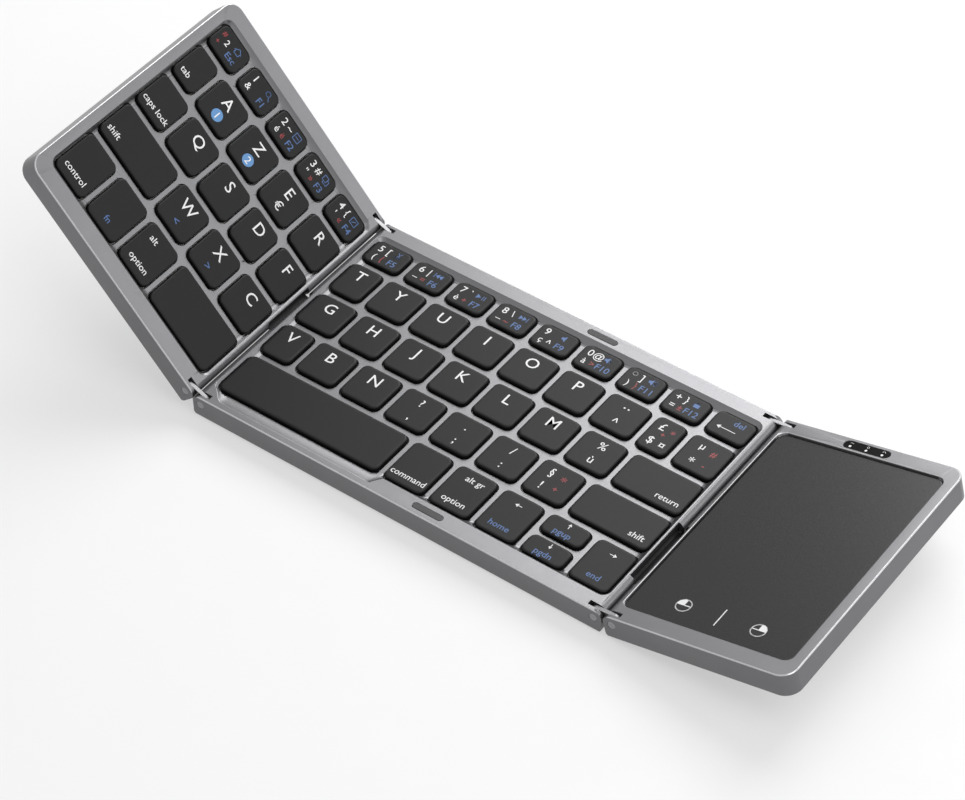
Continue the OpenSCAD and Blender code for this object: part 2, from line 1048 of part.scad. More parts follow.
module right_flex() {
  color("dimgray")
    flex_band(1, right_lift, right_flex_y);
}

centre_case();
centre_base();
centre_skin();
centre_feet();
centre_key_deck();
centre_dome_sheet();
centre_scissors();
centre_bumpers();
centre_hinge_pins();
centre_screws();
left_case();
left_base();
left_skin();
left_feet();
left_key_deck();
left_dome_sheet();
left_scissors();
left_hinge_pins();
left_screws();
right_case();
right_base();
right_skin();
right_feet();
touchpad();
battery();
main_board();
charging_port();
power_switch();
indicator_window();
right_hinge_pins();
right_screws();
left_hinge_links();
right_hinge_links();
left_flex();
right_flex();
keys_numbers_left();
keys_upper_left();
keys_home_left();
keys_lower_left();
key_tab();
key_caps_lock();
key_shift_left();
key_control();
key_fn();
key_option_left();
key_space_left();
keys_numbers_centre();
keys_upper_centre();
keys_home_centre();
keys_lower_centre();
key_backspace();
key_return();
key_shift_right();
key_space_right();
key_command();
key_alt_gr();
key_arrow_left();
key_arrow_up();
key_arrow_down();
key_arrow_right();
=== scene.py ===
import json
import math

import bmesh
import bpy
from mathutils import Matrix, Vector


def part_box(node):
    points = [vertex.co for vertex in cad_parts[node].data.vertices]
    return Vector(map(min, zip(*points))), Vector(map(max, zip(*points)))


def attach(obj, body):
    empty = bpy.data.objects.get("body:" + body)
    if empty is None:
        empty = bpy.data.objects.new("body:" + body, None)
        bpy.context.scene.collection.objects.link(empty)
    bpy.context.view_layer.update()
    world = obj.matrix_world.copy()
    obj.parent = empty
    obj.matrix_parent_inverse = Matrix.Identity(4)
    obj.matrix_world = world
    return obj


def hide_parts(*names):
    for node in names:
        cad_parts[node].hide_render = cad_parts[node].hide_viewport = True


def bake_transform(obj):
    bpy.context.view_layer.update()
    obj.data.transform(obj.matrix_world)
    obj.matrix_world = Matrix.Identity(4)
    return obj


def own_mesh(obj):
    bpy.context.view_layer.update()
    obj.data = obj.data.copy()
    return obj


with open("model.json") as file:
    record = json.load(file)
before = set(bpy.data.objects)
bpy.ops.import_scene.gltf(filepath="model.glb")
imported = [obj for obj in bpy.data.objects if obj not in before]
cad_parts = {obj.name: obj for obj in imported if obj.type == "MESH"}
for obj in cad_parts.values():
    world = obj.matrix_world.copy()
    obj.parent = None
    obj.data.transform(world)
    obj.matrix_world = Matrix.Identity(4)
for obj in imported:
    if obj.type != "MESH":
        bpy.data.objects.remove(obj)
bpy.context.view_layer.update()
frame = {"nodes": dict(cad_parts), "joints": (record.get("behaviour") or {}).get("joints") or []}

# Three-panel folding keyboard. Shapes are drawn in millimetres in the frame of the panel that carries
# them: hinge end at x = 0 on a wing, underside at z = 0.
MM = 0.001
NODES = frame["nodes"]
JOINTS = {joint["name"]: joint for joint in frame["joints"]}


# ---------- places and sizes, from the frame ----------

foot_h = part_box("centre_skin")[0].z / MM
half_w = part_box("centre_case")[1].x / MM
half_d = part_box("centre_case")[1].y / MM
panel_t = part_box("centre_case")[1].z / MM - foot_h
pin_a = {side: Vector(JOINTS[side + "_link_fold"]["pos_m"]) for side in ("left", "right")}
pin_b = {side: Vector(JOINTS[side + "_wing_fold"]["pos_m"]) for side in ("left", "right")}
pin_in = half_w - pin_a["right"].x / MM
pin_z = pin_a["right"].z / MM - foot_h


def wing_frame(side, turn):
    """Hinge end at x = 0; X points away from the centre panel on the right wing, towards it on the left."""
    lift = math.radians(-2 * JOINTS[side + "_wing_fold"]["range_deg"][0])
    return (Matrix.Translation(pin_b[side]) @ Matrix.Rotation(-turn * lift, 4, "Y")
            @ Matrix.Translation(Vector((-turn * pin_in, 0, -pin_z)) * MM))


def link_frame(side):
    """X from the centre panel's pin to the wing's pin."""
    along = (pin_b[side] - pin_a[side]).normalized()
    across = Vector((0, 1, 0))
    turned = Matrix((along, across, along.cross(across))).transposed().to_4x4()
    return Matrix.Translation(pin_a[side]) @ turned


FRAMES = {
    "centre": Matrix.Translation((0, 0, foot_h * MM)),
    "left": wing_frame("left", -1),
    "right": wing_frame("right", 1),
    "left_link": link_frame("left"),
    "right_link": link_frame("right"),
}
BODIES = {
    "centre": "centre_panel", "left": "left_wing", "right": "right_wing",
    "left_link": "left_link", "right_link": "right_link",
}


def local_box(node, place):
    """x0, x1, y0, y1, z0, z1 of a node in a panel's frame, in millimetres."""
    back = FRAMES[place].inverted()
    points = [back @ v.co / MM for v in NODES[node].data.vertices]
    return [pick(p[axis] for p in points) for axis in range(3) for pick in (min, max)]


left_w = -local_box("left_case", "left")[0]
right_w = local_box("right_case", "right")[1]
corner_r = 5
hinge_rim = 2.65
outer_rim = 3.7
rear_rim = 5.5
front_rim = 6
well_r = 3
well_drop = 1.6
well_y = (-half_d + front_rim, half_d - rear_rim)
WELLS = {
    "centre": (-half_w + hinge_rim, half_w - hinge_rim, *well_y),
    "left": (-left_w + outer_rim, -hinge_rim, *well_y),
    "right": (hinge_rim, right_w - outer_rim, *well_y),
}
floor_z = panel_t - well_drop
cap_top = local_box("key_fn", "left")[5]
cap_low = local_box("key_fn", "left")[4]


# ---------- materials ----------

def tree_of(name):
    material = bpy.data.materials.new(name)
    material.use_nodes = True
    nodes = material.node_tree.nodes
    return material, nodes, material.node_tree.links, nodes["Principled BSDF"]


def noise(nodes, links, scale, detail=4.0, rough=0.55):
    place = nodes.new("ShaderNodeTexCoord")
    texture = nodes.new("ShaderNodeTexNoise")
    texture.inputs["Scale"].default_value = scale
    texture.inputs["Detail"].default_value = detail
    texture.inputs["Roughness"].default_value = rough
    links.new(place.outputs["Object"], texture.inputs["Vector"])
    return texture.outputs["Fac"]


def ramp(nodes, links, factor, low, high, start=0.3, end=0.7):
    """Two colours, or two numbers as greys, spread over a texture's middle range."""
    node = nodes.new("ShaderNodeValToRGB")
    for element, place, value in zip(node.color_ramp.elements, (start, end), (low, high)):
        element.position = place
        element.color = (*value, 1) if isinstance(value, tuple) else (value, value, value, 1)
    links.new(factor, node.inputs["Fac"])
    return node.outputs["Color"]


def bumped(nodes, links, shader, height, strength, depth):
    bump = nodes.new("ShaderNodeBump")
    bump.inputs["Strength"].default_value = strength
    bump.inputs["Distance"].default_value = depth * MM
    links.new(height, bump.inputs["Height"])
    links.new(bump.outputs["Normal"], shader.inputs["Normal"])


def grained(name, colour, rough, metallic=0.0, grain=3000, bump=0.25, depth=0.02, spread=0.06, **sockets):
    """A fine-grained surface: clouds in its colour, specks in its gloss and a grain in its bump."""
    material, nodes, links, shader = tree_of(name)
    shader.inputs["Metallic"].default_value = metallic
    for socket, value in sockets.items():
        shader.inputs[socket.replace("_", " ")].default_value = value
    clouds = noise(nodes, links, 90)
    low = tuple(c * (1 - spread) for c in colour)
    high = tuple(min(1.0, c * (1 + spread)) for c in colour)
    links.new(ramp(nodes, links, clouds, low, high), shader.inputs["Base Color"])
    specks = noise(nodes, links, grain, 2.0)
    links.new(ramp(nodes, links, specks, rough * 0.88, min(1.0, rough * 1.12)), shader.inputs["Roughness"])
    bumped(nodes, links, shader, specks, bump, depth)
    return material


def leather(name, colour):
    """Pebbled imitation leather: rounded cells of two sizes, with painted shade darkening their creases."""
    material, nodes, links, shader = tree_of(name)
    place = nodes.new("ShaderNodeTexCoord")
    wander = nodes.new("ShaderNodeTexNoise")
    wander.inputs["Scale"].default_value = 500
    mixed = nodes.new("ShaderNodeMix")
    mixed.data_type = "VECTOR"
    mixed.inputs["Factor"].default_value = 0.0009
    cells = nodes.new("ShaderNodeTexVoronoi")
    cells.feature = "SMOOTH_F1"
    cells.inputs["Scale"].default_value = 950
    cells.inputs["Smoothness"].default_value = 0.25
    links.new(place.outputs["Object"], wander.inputs["Vector"])
    links.new(place.outputs["Object"], mixed.inputs["A"])
    links.new(wander.outputs["Color"], mixed.inputs["B"])
    links.new(mixed.outputs["Result"], cells.inputs["Vector"])
    # The creases take a darker copy of the leather's colour: painted shade in the hollows between the cells
    painted_crease_shade = tuple(c * 0.45 for c in colour)
    links.new(ramp(nodes, links, cells.outputs["Distance"], colour, painted_crease_shade, 0.3, 0.8),
              shader.inputs["Base Color"])
    links.new(ramp(nodes, links, cells.outputs["Distance"], 0.40, 0.62), shader.inputs["Roughness"])
    height = nodes.new("ShaderNodeMath")
    height.operation = "SUBTRACT"
    height.inputs[0].default_value = 1
    links.new(cells.outputs["Distance"], height.inputs[1])
    bumped(nodes, links, shader, height.outputs["Value"], 1.0, 0.3)
    return material


def brushed(name, colour, rough):
    """Satin metal with fine scratches along y."""
    material, nodes, links, shader = tree_of(name)
    shader.inputs["Metallic"].default_value = 1.0
    place = nodes.new("ShaderNodeTexCoord")
    stretch = nodes.new("ShaderNodeMapping")
    stretch.inputs["Scale"].default_value = (5000, 150, 5000)
    texture = nodes.new("ShaderNodeTexNoise")
    texture.inputs["Scale"].default_value = 1
    links.new(place.outputs["Object"], stretch.inputs["Vector"])
    links.new(stretch.outputs["Vector"], texture.inputs["Vector"])
    scratches = texture.outputs["Fac"]
    dull = tuple(c * 0.9 for c in colour)
    links.new(ramp(nodes, links, scratches, dull, colour), shader.inputs["Base Color"])
    links.new(ramp(nodes, links, scratches, rough * 0.8, rough * 1.2), shader.inputs["Roughness"])
    bumped(nodes, links, shader, scratches, 0.15, 0.01)
    return material


CASE = grained("case_anodised", (0.17, 0.17, 0.176), 0.345, 0.85, grain=2600, bump=0.35, depth=0.02,
               spread=0.03)
EDGE = grained("case_cut_edge", (0.46, 0.46, 0.47), 0.28, 0.9, grain=6000, bump=0.03, depth=0.004,
               spread=0.03)
KEY_TOP = grained("key_top", (0.010, 0.010, 0.0105), 0.42, grain=5200, bump=0.22, depth=0.012, spread=0.05,
                  Specular_IOR_Level=0.17)
# Key sides take a darker copy of the key plastic: painted shade on the skirts below the top edge
KEY_SKIRT_PAINTED_SHADE = grained("key_skirt_painted_shade", (0.004, 0.004, 0.004), 0.5, grain=2500, bump=0.2, depth=0.02,
                   Specular_IOR_Level=0.15)
INK = {
    "white": grained("ink_white", (0.82, 0.82, 0.82), 0.5, grain=4000, bump=0.05, depth=0.01, spread=0.02),
    "blue": grained("ink_blue", (0.065, 0.14, 0.34), 0.5, grain=4000, bump=0.05, depth=0.01, spread=0.05),
    "badge": grained("ink_badge", (0.10, 0.26, 0.52), 0.45, grain=4000, bump=0.05, depth=0.01, spread=0.05),
    "red": grained("ink_red", (0.28, 0.02, 0.025), 0.5, grain=4000, bump=0.05, depth=0.01, spread=0.05),
}
PAD = grained("touch_surface", (0.0085, 0.0085, 0.009), 0.27, grain=6000, bump=0.18, depth=0.008, spread=0.03,
              Specular_IOR_Level=0.32)
WINDOW = grained("window_glossy", (0.002, 0.002, 0.002), 0.3, grain=900, bump=0.02, depth=0.01,
                 Specular_IOR_Level=0.05)
RUBBER = grained("rubber_black", (0.018, 0.018, 0.019), 0.72, grain=1800, bump=0.3, depth=0.03)
BUMPER = grained("rubber_grey", (0.045, 0.045, 0.047), 0.62, grain=1800, bump=0.3, depth=0.03)
SKIN = leather("leather_grained", (0.078, 0.080, 0.084))
PIN_STEEL = brushed("pin_steel", (0.30, 0.30, 0.31), 0.36)
LINK_STEEL = brushed("link_steel", (0.20, 0.20, 0.205), 0.30)
KNOB = grained("switch_plastic", (0.03, 0.03, 0.032), 0.5, grain=2500, bump=0.3, depth=0.02)
PLATE = grained("base_plate", (0.24, 0.24, 0.25), 0.45, 0.8)
# Finishes of the nodes that are carried over, by the end of their names
NODE_FINISHES = {
    "key_deck": grained("deck_steel", (0.42, 0.43, 0.44), 0.4, 0.9),
    "dome_sheet": grained("silicone_milky", (0.66, 0.65, 0.61), 0.45, Subsurface_Weight=0.2),
    "scissors": grained("lever_white", (0.62, 0.62, 0.62), 0.4),
    "screws": brushed("screw_steel", (0.4, 0.4, 0.42), 0.3),
    "battery": grained("battery_foil", (0.6, 0.6, 0.62), 0.35, 0.7),
    "main_board": grained("solder_mask", (0.02, 0.14, 0.06), 0.3),
    "charging_port": brushed("port_steel", (0.6, 0.6, 0.62), 0.25),
    "base": PLATE,
    "skin": SKIN,
}


# ---------- mesh building ----------

def oblong(box, grow, radius, z, steps=8):
    """Rounded rectangle (x0, x1, y0, y1) grown on all sides, anticlockwise, at one height."""
    x0, x1, y0, y1 = box
    r = max(radius + grow, 0.02)
    corners = ((x1 + grow - r, y1 + grow - r), (x0 - grow + r, y1 + grow - r),
               (x0 - grow + r, y0 - grow + r), (x1 + grow - r, y0 - grow + r))
    points = []
    for quarter, (cx, cy) in enumerate(corners):
        for step in range(steps + 1):
            angle = math.pi / 2 * (quarter + step / steps)
            points.append((cx + r * math.cos(angle), cy + r * math.sin(angle), z))
    return points


def loft(bm, loops, slots=None, ends=True, joined=False):
    """Skins loops of equally many points; slots gives each band's material."""
    rings = [[bm.verts.new(point) for point in loop] for loop in loops]
    bands = list(zip(rings, rings[1:]))
    if joined:
        bands.append((rings[-1], rings[0]))
    for number, (low, high) in enumerate(bands):
        for i in range(len(low)):
            j = (i + 1) % len(low)
            face = bm.faces.new((low[i], low[j], high[j], high[i]))
            face.material_index = slots[number] if slots else 0
    if ends and not joined:
        bm.faces.new(reversed(rings[0])).material_index = slots[0] if slots else 0
        bm.faces.new(rings[-1]).material_index = slots[-1] if slots else 0


def to_object(bm, name, materials):
    """An object in millimetres in its panel's frame; settle() takes it to its place."""
    bmesh.ops.recalc_face_normals(bm, faces=bm.faces)
    mesh = bpy.data.meshes.new(name)
    bm.to_mesh(mesh)
    bm.free()
    for material in materials:
        mesh.materials.append(material)
    piece = bpy.data.objects.new(name, mesh)
    bpy.context.scene.collection.objects.link(piece)
    return piece


def settle(piece, place, replaces=(), body=None, angle=32):
    """Moves a finished piece into the row frame, rounds its shading and sets it on its body."""
    piece.data.transform(FRAMES[place] @ Matrix.Scale(MM, 4))
    piece.data.shade_smooth()
    piece.data.set_sharp_from_angle(angle=math.radians(angle))
    weighted = piece.modifiers.new("weighted", "WEIGHTED_NORMAL")
    weighted.keep_sharp = True
    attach(piece, body or BODIES[place])
    if replaces:
        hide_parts(*replaces)
    return piece


# Angles round a full turn
TURN = [math.radians(15 * k) for k in range(24)]


def carve(piece, bm, operation, material):
    """Cuts a closed shape from a piece, adds it, or keeps what they share."""
    tool = to_object(bm, "tool", [material])
    change = piece.modifiers.new("carve", "BOOLEAN")
    change.operation = operation
    change.solver = "EXACT"
    change.material_mode = "TRANSFER"
    change.object = tool
    graph = bpy.context.evaluated_depsgraph_get()
    mesh = bpy.data.meshes.new_from_object(piece.evaluated_get(graph), depsgraph=graph)
    bm = bmesh.new()
    bm.from_mesh(mesh)
    bmesh.ops.remove_doubles(bm, verts=bm.verts, dist=2e-4)
    bmesh.ops.dissolve_degenerate(bm, edges=bm.edges, dist=2e-4)
    bmesh.ops.holes_fill(bm, edges=[edge for edge in bm.edges if edge.is_boundary], sides=6)
    bm.to_mesh(mesh)
    bm.free()
    piece.modifiers.clear()
    piece.data = mesh
    bpy.data.objects.remove(tool)


def local_mesh(node, place):
    """A node's mesh, welded, in its panel's frame in millimetres."""
    bm = bmesh.new()
    bm.from_mesh(NODES[node].data)
    bmesh.ops.remove_doubles(bm, verts=bm.verts, dist=1e-7)
    bm.transform(Matrix.Scale(1 / MM, 4) @ FRAMES[place].inverted())
    return bm


def copy_of(node, place, name, material):
    """A node's own solid, closed, as a new piece."""
    bm = local_mesh(node, place)
    bmesh.ops.dissolve_limit(bm, angle_limit=math.radians(0.2), verts=bm.verts, edges=bm.edges)
    for face in bm.faces:
        face.material_index = 0
    return to_object(bm, name, [material])


def shells_of(node, place):
    """A node's separate solids in its panel's frame: plan box (x0, x1, y0, y1), points and faces."""
    bm = local_mesh(node, place)
    bm.verts.index_update()
    group = {}
    reached = []
    for first in bm.verts:
        if first.index in group:
            continue
        group[first.index] = len(reached)
        found = [first]
        for vert in found:
            for edge in vert.link_edges:
                other = edge.other_vert(vert)
                if other.index not in group:
                    group[other.index] = len(reached)
                    found.append(other)
        reached.append(found)
    faces = [[] for _ in reached]
    for face in bm.faces:
        faces[group[face.verts[0].index]].append([vert.index for vert in face.verts])
    shells = []
    for found, sides in zip(reached, faces):
        place_of = {vert.index: number for number, vert in enumerate(found)}
        points = [tuple(vert.co) for vert in found]
        xs = [point[0] for point in points]
        ys = [point[1] for point in points]
        box = (min(xs), max(xs), min(ys), max(ys))
        shells.append((box, points, [[place_of[i] for i in side] for side in sides]))
    bm.free()
    return sorted(shells, key=lambda shell: shell[0])


def solids_of(node, place):
    """Plan boxes of a node's separate solids, from left to right."""
    return [box for box, _, _ in shells_of(node, place)]


# ---------- cases ----------

pin_r = 1.0
pin_length = 4.8
seat_r = 1.42
seat_depth = 0.24
seat_play = 0.04
hinge_round = 1.5

HINGED = {"centre": (True, True), "left": (False, True), "right": (True, False)}
SPANS = {"centre": (-half_w, half_w), "left": (-left_w, 0), "right": (0, right_w)}
key_play = 0.42
key_r = 2.2
KEYS = {
    "left": ["keys_numbers_left", "keys_upper_left", "keys_home_left", "keys_lower_left", "key_tab",
             "key_caps_lock", "key_shift_left", "key_control", "key_fn", "key_option_left", "key_space_left"],
    "centre": ["keys_numbers_centre", "keys_upper_centre", "keys_home_centre", "keys_lower_centre",
               "key_backspace", "key_return", "key_shift_right", "key_space_right", "key_command",
               "key_alt_gr", "key_arrow_left", "key_arrow_up", "key_arrow_down", "key_arrow_right"],
    "right": [],
}
KEY_BOXES = {node: solids_of(node, place) for place in KEYS for node in KEYS[place]}


def hinge_inset(z):
    """How far a hinge end's rounded edges lie inside the panel's end at one height."""
    past = max(z - (panel_t - hinge_round), hinge_round - z, 0)
    return hinge_round - math.sqrt(max(hinge_round ** 2 - min(past, hinge_round) ** 2, 0)) - 0.02


def panel_loop(place, inset, z, steps=10):
    """A panel's plan at one height: round at an outer end, square at a hinge end."""
    x0, x1 = SPANS[place]
    hinge0, hinge1 = HINGED[place]
    y = half_d - inset
    points = []
    for quarter, (x, s, t, hinged) in enumerate(((x1, 1, 1, hinge1), (x0, -1, 1, hinge0),
                                                 (x0, -1, -1, hinge0), (x1, 1, -1, hinge1))):
        if hinged:
            points.append((x - s * hinge_inset(z), t * y, z))
            continue
        r = corner_r - inset
        for step in range(steps + 1):
            angle = math.pi / 2 * (quarter + step / steps)
            points.append((x - s * corner_r + r * math.cos(angle),
                           t * (half_d - corner_r) + r * math.sin(angle), z))
    return points


# Cut edges, from below to above: inset from the wall or growth of the well, and height over the rim plane
EDGE_LINE = ([(0.5, -panel_t - 0.2), (0.3, -panel_t)] + [(0.3 - d, d - panel_t) for d in (0.1, 0.25)]
             + [(-0.5, d - panel_t) for d in (0.8, 1.5)] + [(-0.5, -1.5), (-0.5, -1.2), (-0.5, -0.9)]
             + [(-0.02, -0.34), (0.06, -0.24), (0.16, -0.13), (0.28, -0.04), (0.4, 0.02), (1.0, 0.2)])
LIP_LINE = [(-0.3, -0.7), (0.0, -0.26), (0.2, -0.04), (0.5, 0.2)]
cove_w = 3.0
cove_bend = 1.8


def cove_drop(share):
    """Depth of the hollow slope below the rim, from its edge (0) to the floor it runs into (1)."""
    return well_drop * (1 - (1 - share) ** cove_bend)


def envelope(place):
    """The space inside a panel's outer faces, with its edges cut."""
    bm = bmesh.new()
    loft(bm, [panel_loop(place, inset, panel_t + drop) for inset, drop in EDGE_LINE])
    return bm


def lip(place):
    """The space over the touchpad's opening, which cuts its edge."""
    bm = bmesh.new()
    loft(bm, [oblong(WELLS[place], grow, well_r, panel_t + drop) for grow, drop in LIP_LINE])
    return bm


def smooth(t):
    t = min(max(t, 0.0), 1.0)
    return t * t * (3 - 2 * t)


# The front rim is hollowed where the thumb reaches for the long space bar
thumb_reach = 3.8
thumb_end_reach = 2.7
thumb_fade = (5.3, 3.1)
thumb_x = (KEY_BOXES["key_space_right"][0][0] + 0.15, KEY_BOXES["key_space_right"][0][1] + 4.3)


def thumb_share(x):
    """How much of the thumb's hollow is there, from 0 past its ends to 1."""
    return smooth((x - thumb_x[0]) / thumb_fade[0]) * smooth((thumb_x[1] - x) / thumb_fade[1])


def well_loop(place, grow, z):
    """The well's outline grown at one height, with the thumb's hollow in its front side."""
    box = WELLS[place]
    edge = oblong(box, 0, well_r, z)
    loop = oblong(box, grow, well_r, z)
    if place == "centre":
        front_start = 3 * len(edge) // 4
        xs = [box[0] + well_r + (box[1] - box[0] - 2 * well_r) * k / 120 for k in range(1, 120)]
        edge[front_start:front_start] = [(x, box[2], z) for x in xs]
        loop[front_start:front_start] = [(x, box[2] - grow, z) for x in xs]
        share = min(1 + grow / cove_w, 1)
        loop = [(x, y - thumb_reach * share * thumb_share(ex) * (ey < 0), z)
                for (x, y, z), (ex, ey, _) in zip(loop, edge)]
    return loop


def ledge(place):
    """Block along the well's walls, from which the hollow slope is cut."""
    inner, foot = -cove_w - 0.08, -well_drop - 0.3
    line = [(inner, foot), (0.4, foot), (0.4, -0.05), (inner, -0.05)]
    bm = bmesh.new()
    loft(bm, [oblong(WELLS[place], grow, well_r, panel_t + drop) for grow, drop in line], joined=True)
    return bm


def thumb_ends():
    """Blocks that give the thumb's hollow whole metal to be cut from at its two ends."""
    front = WELLS["centre"][2]
    bm = bmesh.new()
    for x0, x1, reach in ((thumb_x[0] - 0.3, thumb_x[0] + thumb_fade[0], thumb_end_reach),
                          (thumb_x[1] - thumb_fade[1], thumb_x[1] + 0.3, thumb_reach)):
        box = (x0, x1, front - reach, front + 0.2)
        loft(bm, [oblong(box, 0, 0.1, z, 2) for z in (floor_z - 0.32, panel_t - 0.06)])
    return bm


def well_air(place):
    """Space over the hollow slope that leads from the rim to the well's floor."""
    past_rim = 0.04
    line = [(past_rim - (cove_w + past_rim) * k / 12, -min(cove_drop(k / 12), well_drop - 0.02))
            for k in range(12, -1, -1)] + [(0.4, 0.35)]
    bm = bmesh.new()
    loft(bm, [well_loop(place, grow, panel_t + drop) for grow, drop in line])
    return bm


def key_openings(place):
    bm = bmesh.new()
    line = [(key_play, floor_z - 1.2), (key_play, floor_z - 0.1), (key_play + 0.2, floor_z + 0.1),
            (key_play + 0.2, panel_t + 0.3)]
    for node in KEYS[place]:
        for box in KEY_BOXES[node]:
            loft(bm, [oblong(box, grow, key_r, z) for grow, z in line])
    return bm


def pin_seats(place):
    """Shallow round seats in the cheeks for the pins' heads."""
    bm = bmesh.new()
    for x, hinged in zip(SPANS[place], HINGED[place]):
        if hinged:
            x += pin_in if x == SPANS[place][0] else -pin_in
            for side in (-1, 1):
                loft(bm, [[(x + seat_r * math.cos(a), side * y, pin_z + seat_r * math.sin(a)) for a in TURN]
                          for y in (half_d - seat_depth, half_d + 0.3)])
    return bm


def build_case(place):
    piece = copy_of(place + "_case", place, place + "_shell", CASE)
    carve(piece, envelope(place), "INTERSECT", EDGE)
    if KEYS[place]:
        carve(piece, ledge(place), "UNION", CASE)
        if place == "centre":
            carve(piece, thumb_ends(), "UNION", CASE)
        carve(piece, well_air(place), "DIFFERENCE", CASE)
        carve(piece, key_openings(place), "DIFFERENCE", CASE)
    else:
        carve(piece, lip(place), "DIFFERENCE", EDGE)
    carve(piece, pin_seats(place), "DIFFERENCE", CASE)
    settle(piece, place, [place + "_case"])


# ---------- keycaps ----------

# Half section of a cap: inset from its outline, and depth below its top
CAP_LINE = [(0.8, -0.8), (0.8, cap_low - cap_top), (0, cap_low - cap_top), (0, -0.62), (0.05, -0.4),
            (0.16, -0.2), (0.34, -0.07), (0.6, -0.015), (1.0, 0)]
# Slot 1 is the darker skirt material, painted shade on the cap's sides; slot 0 is the top
CAP_SLOTS = [1, 1, 1, 1, 0, 0, 0, 0]


def build_caps(place, node):
    bm = bmesh.new()
    for box in KEY_BOXES[node]:
        loft(bm, [oblong(box, -inset, key_r, cap_top + drop) for inset, drop in CAP_LINE], CAP_SLOTS)
    piece = to_object(bm, node + "_caps", [KEY_TOP, KEY_SKIRT_PAINTED_SHADE])
    settle(piece, place, [node], body=node, angle=50)


# ---------- springs under the keys ----------

film_t = 0.2
dome_r = 2.5
dome_taper = 1.1
dome_margin = 2.4


def build_film(place):
    """The flat sheet that the domes stand on."""
    node = place + "_dome_sheet"
    x0, x1, y0, y1, z0, _ = local_box(node, place)
    bm = bmesh.new()
    loft(bm, [oblong((x0, x1, y0, y1), 0, 0.5, z, 4) for z in (z0, z0 + film_t)])
    settle(to_object(bm, place + "_film", [NODE_FINISHES["dome_sheet"]]), place, [node])


def squeeze(piece):
    """Gives a spring its own copy of its mesh."""
    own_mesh(piece)


def build_springs(place, node, levers):
    """One dome and one crossed pair of levers under every key of a body."""
    sheet = local_box(place + "_dome_sheet", place)
    low, high = sheet[4] + film_t, sheet[5]
    bm = bmesh.new()
    for x0, x1, y0, y1 in KEY_BOXES[node]:
        x, y = (x0 + x1) / 2, (y0 + y1) / 2
        r = min(dome_r, (y1 - y0) / 2 - dome_margin)
        line = [(r, low - 0.02), (r - 0.1, low + 0.15), (r - dome_taper, high - 0.3),
                (r - dome_taper - 0.2, high)]
        loft(bm, [[(x + w * math.cos(a), y + w * math.sin(a), z) for a in TURN] for w, z in line])
    piece = settle(to_object(bm, node + "_domes", [NODE_FINISHES["dome_sheet"]]), place,
                   [place + "_dome_sheet"])
    squeeze(piece)
    bm = bmesh.new()
    for (x0, x1, y0, y1), points, faces in levers:
        x, y = (x0 + x1) / 2, (y0 + y1) / 2
        if any(b[0] < x < b[1] and b[2] < y < b[3] for b in KEY_BOXES[node]):
            verts = [bm.verts.new(point) for point in points]
            for face in faces:
                bm.faces.new([verts[i] for i in face])
    piece = settle(to_object(bm, node + "_levers", [NODE_FINISHES["scissors"]]), place,
                   [place + "_scissors"])
    squeeze(piece)


# ---------- legends ----------

ink_t = 0.012
badge_sign = 2.6


def glyph_height():
    """Height of a capital letter in a text of size 1."""
    curve = bpy.data.curves.new("measure", "FONT")
    curve.body = "H"
    piece = bpy.data.objects.new("measure", curve)
    bpy.context.scene.collection.objects.link(piece)
    bpy.context.view_layer.update()
    height = piece.dimensions.y
    bpy.data.objects.remove(piece)
    return height


cap_height = glyph_height()


def add_text(bm, words, x, y, height, z):
    """Words with their capitals' height in millimetres, centred on x and y."""
    curve = bpy.data.curves.new("words", "FONT")
    curve.body = words
    curve.size = height / cap_height
    curve.align_x = "CENTER"
    curve.extrude = ink_t / 2
    curve.offset = 0.012
    curve.resolution_u = 3
    piece = bpy.data.objects.new("words", curve)
    bpy.context.scene.collection.objects.link(piece)
    graph = bpy.context.evaluated_depsgraph_get()
    mesh = bpy.data.meshes.new_from_object(piece.evaluated_get(graph), depsgraph=graph)
    mesh.transform(Matrix.Translation((x, y - height / 2, z)))
    glyphs = bmesh.new()
    glyphs.from_mesh(mesh)
    bmesh.ops.remove_doubles(glyphs, verts=glyphs.verts, dist=1e-4)
    bmesh.ops.dissolve_degenerate(glyphs, edges=glyphs.edges, dist=1e-4)
    glyphs.to_mesh(mesh)
    glyphs.free()
    bm.from_mesh(mesh)
    bpy.data.objects.remove(piece)
    bpy.data.meshes.remove(mesh)


def add_fill(bm, points, x, y, size, z):
    """A closed outline in units of size, as a thin layer of ink."""
    low = [bm.verts.new((x + px * size, y + py * size, z - ink_t / 2)) for px, py in points]
    high = [bm.verts.new((v.co.x, v.co.y, z + ink_t / 2)) for v in low]
    bm.faces.new(reversed(low))
    bm.faces.new(high)
    for i in range(len(low)):
        j = (i + 1) % len(low)
        bm.faces.new((low[i], low[j], high[j], high[i]))


def add_line(bm, points, x, y, size, z, width=0.24):
    """A drawn line through points in units of size, each stretch a thin bar with square ends."""
    for (ax, ay), (bx, by) in zip(points, points[1:]):
        along = Vector(((bx - ax) * size, (by - ay) * size)).normalized() * width / 2
        side = Vector((-along.y, along.x))
        start = Vector((x + ax * size, y + ay * size)) - along
        end = Vector((x + bx * size, y + by * size)) + along
        corners = [start - side, end - side, end + side, start + side]
        add_fill(bm, [tuple(c) for c in corners], 0, 0, 1, z)


def arc(cx, cy, r, start, end, steps=12):
    angles = [math.radians(start + (end - start) * k / steps) for k in range(steps + 1)]
    return [(cx + r * math.cos(a), cy + r * math.sin(a)) for a in angles]


def circle(cx, cy, r, steps=24):
    return arc(cx, cy, r, 0, 360, steps)[:-1]


def box_line(x0, x1, y0, y1):
    return [(x0, y0), (x1, y0), (x1, y1), (x0, y1), (x0, y0)]


TRIANGLE = [(-0.5, -0.6), (0.5, 0), (-0.5, 0.6)]


